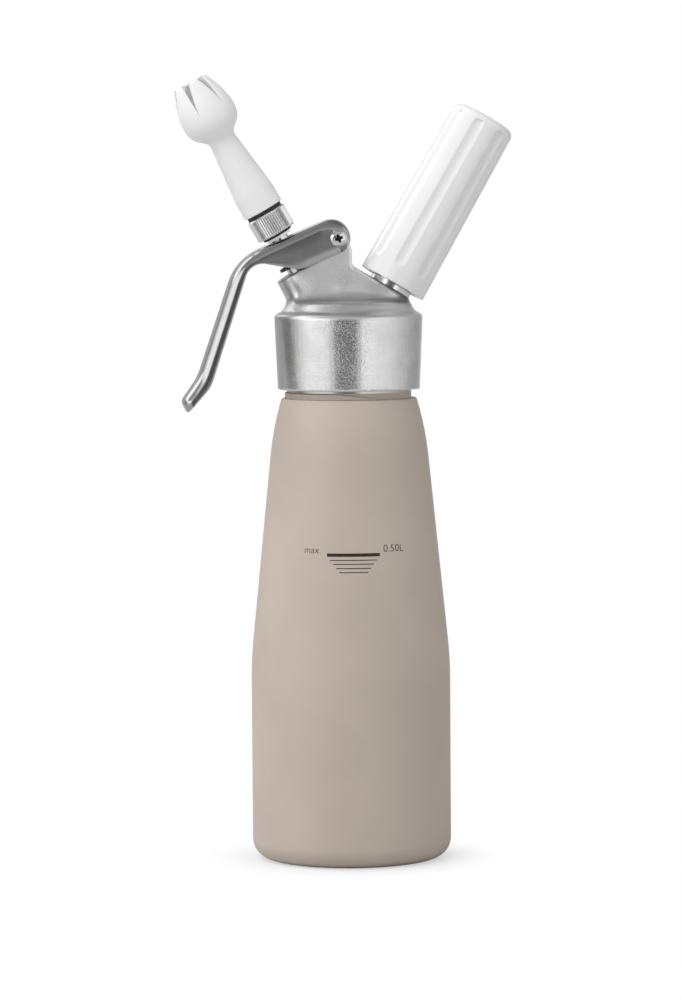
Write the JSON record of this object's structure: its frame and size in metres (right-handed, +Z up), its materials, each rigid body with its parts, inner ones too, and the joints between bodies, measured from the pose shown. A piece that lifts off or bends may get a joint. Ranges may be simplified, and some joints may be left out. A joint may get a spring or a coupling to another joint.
{
  "type": "whipped cream dispenser",
  "caption": "Hand-held dispenser for whipped cream: a painted flask with a screwed metal head, a squeeze lever over a tilted spout with a slotted nozzle, and a tilted gas charger holder.",
  "frame": {"origin": "centre of the flask's foot, on the surface it stands on", "axes": "+Z up the flask, -X towards the lever and the nozzle, +X towards the charger holder, Y across the lever along its pivot"},
  "size_m": [0.1355, 0.08, 0.3152],
  "materials": {
    "flask_paint": "satin taupe paint",
    "head_casting": "fine bead-blasted casting",
    "lever_steel": "polished sheet",
    "bright_steel": "turned and polished",
    "nickel": "satin nickel",
    "clip_steel": "dark spring steel",
    "spring_steel": "drawn wire and turned pin",
    "charger_steel": "bright zinc",
    "liner_metal": "turned",
    "black_rubber": "matte",
    "dark_seal": "matte silicone",
    "white_matte": "fine matte",
    "white_gloss": "glossy"
  },
  "bodies": {
    "flask": {"flask": "flask_paint"},
    "gasket": {"head_gasket": "dark_seal"},
    "head": {"head": "head_casting", "charger_port": "bright_steel", "piercing_pin": "spring_steel", "pin_seal": "black_rubber", "check_valve": "dark_seal", "pivot_sleeve": "bright_steel", "pivot_screw": "bright_steel", "valve_spring": "spring_steel"},
    "lever": {"lever": "lever_steel"},
    "valve": {"valve_stem": "bright_steel", "stem_o_ring": "black_rubber", "stroke_clip": "clip_steel", "valve_seal": "black_rubber", "nozzle_adapter": "nickel", "adapter_seal": "black_rubber"},
    "nozzle_washer": {"nozzle_gasket": "black_rubber"},
    "nozzle": {"tulip_nozzle": "white_matte"},
    "charger": {"gas_charger": "charger_steel"},
    "holder": {"charger_holder": "white_gloss", "holder_liner": "liner_metal"}
  },
  "joints": [
    {"name": "head_rise", "type": "slide", "parent": "flask", "child": "gasket", "axis": [0, 0, 1], "range_m": [0, 0.024]},
    {"name": "head_turn", "type": "hinge", "parent": "gasket", "child": "head", "pos_m": [0, 0, 0.2], "axis": [0, 0, 1], "range_deg": [0, 2160]},
    {"name": "lever_squeeze", "type": "hinge", "parent": "head", "child": "lever", "pos_m": [-0.00495, 0, 0.24947], "axis": [0, -1, 0], "range_deg": [0, 6.3]},
    {"name": "valve_slide", "type": "slide", "parent": "head", "child": "valve", "axis": [0.5, 0, -0.866], "range_m": [0, 0.00219], "stiffness_N_per_m": 1000, "springref_m": -0.003, "deforming": ["valve_spring"]},
    {"name": "nozzle_rise", "type": "slide", "parent": "valve", "child": "nozzle_washer", "axis": [-0.5, 0, 0.866], "range_m": [0, 0.009]},
    {"name": "nozzle_turn", "type": "hinge", "parent": "nozzle_washer", "child": "nozzle", "pos_m": [-0.034, 0, 0.26099], "axis": [-0.5, 0, 0.866], "range_deg": [0, 2160]},
    {"name": "holder_rise", "type": "slide", "parent": "head", "child": "charger", "axis": [0.5, 0, 0.866], "range_m": [0, 0.0105]},
    {"name": "holder_turn", "type": "hinge", "parent": "charger", "child": "holder", "pos_m": [0.01785, 0, 0.23139], "axis": [0.5, 0, 0.866], "range_deg": [0, 2520]}
  ],
  "couplings": [
    {"joint": "head_turn", "follows": "head_rise", "rad_per_m": 1570.8},
    {"joint": "lever_squeeze", "follows": "valve_slide", "rad_per_m": 50.25},
    {"joint": "nozzle_turn", "follows": "nozzle_rise", "rad_per_m": 4188.8},
    {"joint": "holder_turn", "follows": "holder_rise", "rad_per_m": 4188.8}
  ]
}
